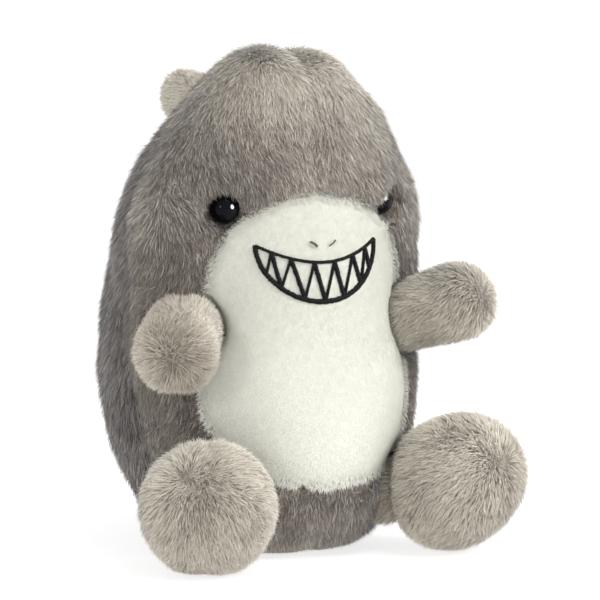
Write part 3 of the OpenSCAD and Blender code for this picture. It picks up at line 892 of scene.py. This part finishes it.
def foot_shade(side, whorl):
    """Lighter towards the top, darker in the whorl and by the hip. The darkening is painted shade in the
    pinched-in whorl and in the crease by the hip.
    """
    def shade(points):
        high = 0.42 + 0.14 * fade(points[:, 2], 6 * MM, 26 * MM)
        # painted shade in the pinched-in whorl
        in_whorl = 0.25 * near(points, whorl, 3.5 * MM)[:, 0]
        # painted shadow in the crease between the foot and the body, by the hip
        return high - in_whorl - 0.5 * near(points, HIPS[side], 9 * MM)[:, 0]
    return shade


def even_shade(value):
    return lambda points: np.full(len(points), value)


FOOT_R = 14.9 * MM
FOOT_Z = 15.2 * MM
FOOT_REACH = 17.6  # mm from the hip to the middle of the foot
ARM_REACH = 21  # mm from the shoulder to the tip of the arm
FOOT_ROOT, ARM_ROOT, FIN_ROOT = 7.2 * MM, 6.4 * MM, 0.5 * MM  # how far from its joint a limb stays bare
LIMB_PILE, FIN_PILE = 3.5 * MM, 2.8 * MM
SOLE_WAY = {"right": unit(np.array([-0.65, -0.53, 0.545])), "left": unit(np.array([0.3, -0.79, 0.52]))}
FOOT_FUR = 46000
ARM_FUR = 28000
FOOT_SEEDS = {"right": 61, "left": 64}
ARM_SEEDS = {"right": 71, "left": 74}
# The right arm is painted darker than the left: painted shade, as both arms are of the same pale pile.
ARM_SHADES = {"right": 0.24, "left": 0.5}
limb_skins = {}
for side in SIDES:
    foot, filled = f"foot_{side}", f"foot_{side}_stuffing"
    ball = HIPS[side] + unit((middle_of(filled) - HIPS[side]) * [1, 1, 0]) * FOOT_REACH * MM
    ball[2] = FOOT_Z
    whorl = ball + FOOT_R * SOLE_WAY[side]
    limb = sewn_limb(foot, [f"foot_{side}_inner", f"foot_{side}_outer"], filled, 1.3 * MM, 0.3 * MM,
                     whorl, 1.6 * MM, HIPS[side] if side == "left" else None)
    limb_skins[filled] = limb
    limb_pile(foot, limb, HIPS[side], FOOT_ROOT, whorl, FOOT_FUR, LIMB_PILE, 38, FOOT_SEEDS[side],
              foot_shade(side, whorl), pale_pile)
    arm, filled = f"arm_{side}", f"arm_{side}_stuffing"
    tip = SHOULDERS[side] + unit(middle_of(filled) - SHOULDERS[side]) * ARM_REACH * MM
    limb = sewn_limb(arm, [f"arm_{side}_front", f"arm_{side}_back"], filled, 1.0 * MM, 0.3 * MM,
                     tip, 0.5 * MM)
    limb_skins[filled] = limb
    limb_pile(arm, limb, SHOULDERS[side], ARM_ROOT, tip, ARM_FUR, LIMB_PILE, 40, ARM_SEEDS[side],
              even_shade(ARM_SHADES[side]), pale_pile)

for fin, joint, mat, slot, count, seed in (
    ("dorsal_fin", "dorsal_fin_flop", pale_pile, "pale_grey_fur", 15000, 84),
    ("tail", "tail_wag", dark_pile, "dark_grey_fur", 17000, 81),
):
    base, filled = pivot(joint), fin + "_stuffing"
    limb = sewn_limb(fin, [fin + "_right", fin + "_left"], filled, 0.8 * MM, 0.7 * MM, base, 0)
    limb_skins[filled] = limb
    limb_pile(fin, limb, base, FIN_ROOT, base, count, FIN_PILE, 36, seed,
              even_shade(0.45), mat, unit(middle_of(filled) - base))


# Filling: lumpy fibre inside each skin.
FILL_GAP = 1.6 * MM  # from the outside of a skin to its filling


def filling(node, body_name, around, grid, seed):
    """A filling's own form made lumpy, and kept inside the skin around it."""
    obj = remeshed(node + "_fibre", [node], grid)
    smooth(obj, 0.5, 2)
    normal = vertex_normals(obj)
    co = places(obj)
    co -= ((0.5 + 0.4 * drift(co, 9 * MM, seed)) * MM)[:, None] * normal
    for i, p in enumerate(co):
        place, out, _, _ = around.find_nearest(Vector(p))
        inside = (place - Vector(p)).dot(out)
        if inside < FILL_GAP:
            co[i] = place - out * FILL_GAP
    set_places(obj, co)
    obj.data.shade_smooth()
    finish_piece(obj, fibre, body_name, [node])


for k, node in enumerate(["head_stuffing", "body_stuffing"]):
    filling(node, "body", skin_tree, 2.4 * MM, 91 + k)
for k, (node, limb) in enumerate(limb_skins.items()):
    tree = BVHTree.FromPolygons([Vector(p) for p in limb["co"]], limb["quads"].tolist())
    filling(node, node.replace("_stuffing", ""), tree, 1.4 * MM, 95 + k)


# Pellet pouch: a gathered cloth bag, with its pellets inside.
def pouch():
    """The bag. Returns the room for pellets in it: its radius, its floor and its height."""
    low, high = (np.array(c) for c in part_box("pellet_pouch"))
    r, h = (high[0] - low[0]) / 2 - 0.2 * MM, high[2] - low[2]
    profile = [(0.0, 0.01), (0.55, 0.0), (0.86, 0.05), (0.98, 0.2), (1.0, 0.45), (0.97, 0.68), (0.86, 0.84),
               (0.6, 0.93), (0.3, 0.965), (0.12, 0.975), (0.07, 0.99), (0.1, 1.0)]
    around = 96
    points, faces = [], []
    for j, (a, b) in enumerate(profile[1:]):
        for i in range(around):
            t = 2 * math.pi * i / around
            fold = 1 + 0.035 * math.sin(14 * t) * max(0, b - 0.6) / 0.4 - 0.012 * (1 + math.sin(9 * t + 1))
            points.append((r * a * fold * math.cos(t), r * a * fold * math.sin(t), low[2] + h * b))
    rows = len(profile) - 1
    for j in range(rows - 1):
        for i in range(around):
            k = (i + 1) % around
            faces.append((j * around + i, j * around + k, (j + 1) * around + k, (j + 1) * around + i))
    faces.append(tuple(range(around))[::-1])
    faces.append(tuple((rows - 1) * around + i for i in range(around)))
    bag = new_piece("pellet_pouch_bag", points, faces)
    m = bag.modifiers.new("Cloth", "SOLIDIFY")
    m.thickness, m.offset = 0.5 * MM, -1
    m = bag.modifiers.new("Subdivision", "SUBSURF")
    m.levels = m.render_levels = 1
    apply_modifiers(bag)
    finish_piece(bag, pouch_cloth, "body", ["pellet_pouch"])
    return r - 1.6 * MM, low[2] + 1.4 * MM, h * 0.86


BEAD_R = 1.25 * MM


def pellet_heap(r, floor, high):
    """Layers of beads, each shifted by half a step and shaken a little."""
    rng = np.random.default_rng(7)
    bpy.ops.object.select_all(action="DESELECT")
    bpy.ops.mesh.primitive_ico_sphere_add(subdivisions=1, radius=BEAD_R)
    bead = bpy.context.active_object
    bead_co = places(bead)
    bead_faces = [tuple(p.vertices) for p in bead.data.polygons]
    bpy.data.objects.remove(bead)
    points, faces = [], []
    step = 2.55 * MM
    layer = 0
    z = floor + BEAD_R
    while z < floor + high - 3 * MM:
        shift = (layer % 2) * step / 2
        for x in np.arange(-r, r, step):
            for y in np.arange(-r, r, step):
                p = np.array([x + shift, y + shift, z]) + rng.uniform(-0.06, 0.06, 3) * MM
                edge = r - 1.4 * MM - 4 * MM * max(0, (z - floor) / high - 0.6)
                edge -= 2.4 * MM * (z < floor + 2 * MM)
                if math.hypot(p[0], p[1]) < edge:
                    base = len(points)
                    points.extend(p + bead_co * [1, 1, rng.uniform(0.8, 1)])
                    faces.extend(tuple(base + i for i in f) for f in bead_faces)
        z += step * 0.74
        layer += 1
    heap = new_piece("pellet_beads", points, faces)
    finish_piece(heap, pellet_plastic, "body", ["pellets"])


pellet_heap(*pouch())


# Eyes: a black dome with a rim, on its post.
EYE_YAW = math.radians(38)
DOME_R = 3.65 * MM
DOME_HIGH = 2.75 * MM
RIM_Z = 0.7 * MM  # where the sphere of the dome is cut
RIM_R, POST_R = 3.55, 1.15


def eye(side):
    """A cut sphere, extruded to a rim and to a post that reaches its washer."""
    turn = SIDES[side]
    way = np.array([turn * math.sin(EYE_YAW), -math.cos(EYE_YAW), 0])
    washer = middle_of(f"eye_washer_{side}")
    front = max(float(np.dot(v.co, way)) for v in frame["nodes"][f"eye_{side}"].data.vertices)
    base = washer + way * (front - DOME_HIGH - washer @ way)
    bpy.ops.object.select_all(action="DESELECT")
    bpy.ops.mesh.primitive_uv_sphere_add(segments=64, ring_count=40, radius=DOME_R)
    dome = bpy.context.active_object
    dome.name = f"eye_{side}_dome"
    bpy.ops.object.mode_set(mode="EDIT")
    bpy.ops.mesh.select_all(action="SELECT")
    bpy.ops.mesh.bisect(plane_co=(0, 0, RIM_Z), plane_no=(0, 0, 1), clear_inner=True, use_fill=False)
    bpy.ops.mesh.select_all(action="DESELECT")
    bpy.ops.mesh.select_non_manifold()
    bpy.ops.mesh.extrude_region_move(TRANSFORM_OT_translate={"value": (0, 0, -0.35 * MM)})
    bpy.ops.mesh.extrude_region_move()
    shrink = POST_R / RIM_R
    bpy.ops.transform.resize(value=(shrink, shrink, 1), center_override=(0, 0, 0))
    bpy.ops.mesh.extrude_region_move(TRANSFORM_OT_translate={"value": (0, 0, -6 * MM)})
    bpy.ops.mesh.edge_face_add()
    bpy.ops.mesh.select_all(action="SELECT")
    bpy.ops.mesh.normals_make_consistent(inside=False)
    bpy.ops.object.mode_set(mode="OBJECT")
    co = places(dome)
    co[:, 2] -= 0.9 * MM  # so that the dome stands DOME_HIGH above its base
    across = np.cross([0, 0, 1.0], way)
    set_places(dome, base + co[:, :1] * across + co[:, 1:2] * [0, 0, 1.0] + co[:, 2:] * way)
    pick(dome)
    bpy.ops.object.mode_set(mode="EDIT")
    bpy.ops.mesh.select_all(action="SELECT")
    bpy.ops.mesh.normals_make_consistent(inside=False)
    bpy.ops.object.mode_set(mode="OBJECT")
    bpy.ops.object.shade_smooth_by_angle(angle=math.radians(40))
    finish_piece(dome, eye_gloss, "body", [f"eye_{side}"])


for side in SIDES:
    eye(side)
    node = frame["nodes"][f"eye_washer_{side}"]
    node.data.materials.clear()
    node.data.materials.append(washer_plastic)


# Thread work on the face and on the closing seam.
def tubes(name, lines, radius, sides=6):
    """Threads through lists of points. Each line comes with the way up from the cloth."""
    points, faces = [], []
    for line, up in lines:
        line = np.asarray(line)
        n = len(line)
        ahead = unit(np.gradient(line, axis=0))
        ups = flat_on(np.tile(up, (n, 1)), ahead)
        across = np.cross(ahead, ups)
        base = len(points)
        for k in range(n):
            r = radius * (0.55 if k in (0, n - 1) else 1)
            for j in range(sides):
                a = 2 * math.pi * j / sides
                points.append(line[k] + r * (math.cos(a) * ups[k] + math.sin(a) * across[k]))
        for k in range(n - 1):
            for j in range(sides):
                i = (j + 1) % sides
                a, b = base + k * sides, base + (k + 1) * sides
                faces.append((a + j, a + i, b + i, b + j))
        faces.append(tuple(base + j for j in range(sides))[::-1])
        faces.append(tuple(base + (n - 1) * sides + j for j in range(sides)))
    obj = new_piece(name, points, faces)
    bm = bmesh.new()
    bm.from_mesh(obj.data)
    bmesh.ops.recalc_face_normals(bm, faces=bm.faces)
    bm.to_mesh(obj.data)
    bm.free()
    return obj


def on_face(x, z):
    """The place on the skin straight behind [x, z], and the way out of it there."""
    place, out, _, _ = skin_tree.ray_cast(Vector((x, -0.2, z)), Vector((0, 1, 0)))
    return np.array(place), np.array(out)


THREAD_R = 0.17 * MM
STITCH_STEP = 0.27 * MM
ARCH = [(-1, -0.1), (-0.75, 0.42), (0, 0.6), (0.75, 0.42), (1, -0.1)]


def satin_line(path, width, rng):
    """Close stitches laid across a line of [x, z] places on the face."""
    path = np.array(path) * MM
    dense = [path[0]]
    for a, b in zip(path[:-1], path[1:]):
        steps = max(1, int(np.linalg.norm(b - a) / (0.1 * MM)))
        dense.extend(a + (b - a) * k / steps for k in range(1, steps + 1))
    hits = [on_face(*p) for p in dense]
    spots = np.array([h[0] for h in hits])
    outs = np.array([h[1] for h in hits])
    run = np.concatenate([[0], np.cumsum(np.linalg.norm(np.diff(spots, axis=0), axis=1))])
    lines = []
    for s in np.arange(0.1 * MM, run[-1], STITCH_STEP):
        k = min(int(np.searchsorted(run, s)), len(run) - 2)
        ahead = unit(spots[min(k + 3, len(run) - 1)] - spots[max(k - 3, 0)])
        up = outs[k]
        across = unit(np.cross(up, ahead) + 0.22 * ahead)
        half = width * MM / 2 * (1 + rng.uniform(-0.16, 0.26, 2))
        lines.append(([spots[k] + across * u * half[int(u > 0)] + up * v * MM for u, v in ARCH], up))
    return lines


MOUTH_W, MOUTH_Z, LIP_DROP, JAW_DROP = 32.0, 74.2, 4.3, 13.5
TOOTH_TOPS = [-0.79, -0.52, -0.17, 0.17, 0.52, 0.79]
TOOTH_TIPS = [-0.87, -0.67, -0.33, 0, 0.33, 0.67, 0.87]
half_mouth = MOUTH_W / 2


def upper_lip(x):
    return MOUTH_Z - LIP_DROP * (1 - (x / half_mouth) ** 2)


def lower_lip(x):
    return MOUTH_Z - JAW_DROP * math.sqrt(max(0, 1 - (x / half_mouth) ** 2))


rng = np.random.default_rng(17)
stitches = satin_line([(x, upper_lip(x)) for x in np.linspace(-half_mouth, half_mouth, 40)], 0.6, rng)
stitches += satin_line([(-half_mouth * math.cos(a), MOUTH_Z - JAW_DROP * math.sin(a))
                        for a in np.linspace(0, math.pi, 60)], 1.08, rng)
for i, top in enumerate(TOOTH_TOPS):
    x = half_mouth * top
    left_tip, right_tip = half_mouth * TOOTH_TIPS[i], half_mouth * TOOTH_TIPS[i + 1]
    stitches += satin_line([(left_tip, lower_lip(left_tip)), (x, upper_lip(x))], 0.5, rng)
    stitches += satin_line([(x, upper_lip(x)), (right_tip, lower_lip(right_tip))], 0.95, rng)
mouth = tubes("mouth_satin_stitch", stitches, THREAD_R)
finish_piece(mouth, black_thread, "body", ["mouth_embroidery"])
mouth_line = [line[2] for line, _ in stitches]
belly_pile(76000)

# Two short stitches side by side for each nostril.
lines = []
for side in (-1, 1):
    for shift in (-0.14, 0.14):
        row = []
        for t, high in ((0, -0.1), (0.2, 0.25), (0.5, 0.4), (0.8, 0.25), (1, -0.1)):
            x = side * (3.4 - 1.8 * t) + shift
            place, out = on_face(x * MM, (MOUTH_Z + 0.6 - 1.3 * t + 0.5 * shift) * MM)
            row.append(place + out * (high + 0.35) * MM)
        lines.append((row, out))
nostrils = tubes("nostril_thread", lines, 0.16 * MM)
finish_piece(nostrils, grey_thread, "body", ["nostril_stitches"])

# Six ladder stitches up the closing seam.
lines = []
stitch_verts = np.array([v.co for v in frame["nodes"]["closing_stitches"].data.vertices])
for i in range(6):
    z = (0.16 + 0.03 * i) * BODY_H
    centre = stitch_verts[np.abs(stitch_verts[:, 2] - z) < 1 * MM].mean(0)
    row = []
    for t in (-1, -0.6, 0, 0.6, 1):
        spot = centre + np.array([0.1 * t, t, 0.25 * t]) * 2 * MM
        place, out, _, _ = skin_tree.find_nearest(Vector(spot))
        row.append(np.array(place) + np.array(out) * (0.35 - 0.5 * t * t) * MM)
    lines.append((row, np.array(out)))
ladder = tubes("closing_thread", lines, 0.22 * MM)
finish_piece(ladder, grey_thread, "body", ["closing_stitches"])


# Floor, light and camera.
bpy.ops.object.select_all(action="DESELECT")
bpy.ops.mesh.primitive_plane_add(size=14, location=(0, 0, 0))
floor = bpy.context.active_object
floor.name = "floor"
floor_mat, _, floor_shader = material("pale floor")
set_inputs(floor_shader, {"Base Color": (0.36, 0.36, 0.36, 1), "Roughness": 0.9, "Specular IOR Level": 0.1,
                          "Emission Color": (1, 1, 1, 1), "Emission Strength": 0.76})
floor.data.materials.append(floor_mat)
floor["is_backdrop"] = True

world = bpy.data.worlds.new("studio")
bpy.context.scene.world = world
world.use_nodes = True
world.node_tree.nodes["Background"].inputs[0].default_value = (1, 1, 1, 1)
world.node_tree.nodes["Background"].inputs[1].default_value = 0.85
bpy.context.scene.view_settings.view_transform = "Standard"

AIM = Vector((0.0126, 0.0032, 0.0571))


def soft_light(name, place, size, power, only=None):
    """A round area light on the toy, or on one collection alone."""
    light = bpy.data.lights.new(name, "AREA")
    light.shape = "DISK"
    light.size = size
    light.energy = power
    obj = linked(name, light)
    if only:
        obj.light_linking.receiver_collection = only
    obj.location = place
    obj.rotation_euler = (AIM - Vector(place)).to_track_quat("-Z", "Y").to_euler()


soft_light("key softbox", (0.55, -0.5, 0.4), 0.27, 3.6)
soft_light("top softbox", (0.1, -0.35, 0.9), 0.5, 3)
soft_light("fill softbox", (-1.0, -0.55, 0.35), 0.16, 1.8)
eyes = bpy.data.collections.new("eyes")
for side in SIDES:
    eyes.objects.link(bpy.data.objects[f"eye_{side}_dome"])
soft_light("eye light", (0.4, -0.7, 0.217), 0.42, 60, eyes)
soft_light("small eye light", (-1.0, -0.55, 0.35), 0.12, 16, eyes)

camera_data = bpy.data.cameras.new("camera")
camera_data.lens = 325
camera_data.sensor_width = 36
camera_data.clip_end = 50
camera = linked("camera", camera_data)
camera.location = (-0.642, -1.112, 0.2034)
camera.rotation_euler = (AIM - camera.location).to_track_quat("-Z", "Y").to_euler()
bpy.context.scene.camera = camera

low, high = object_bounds()
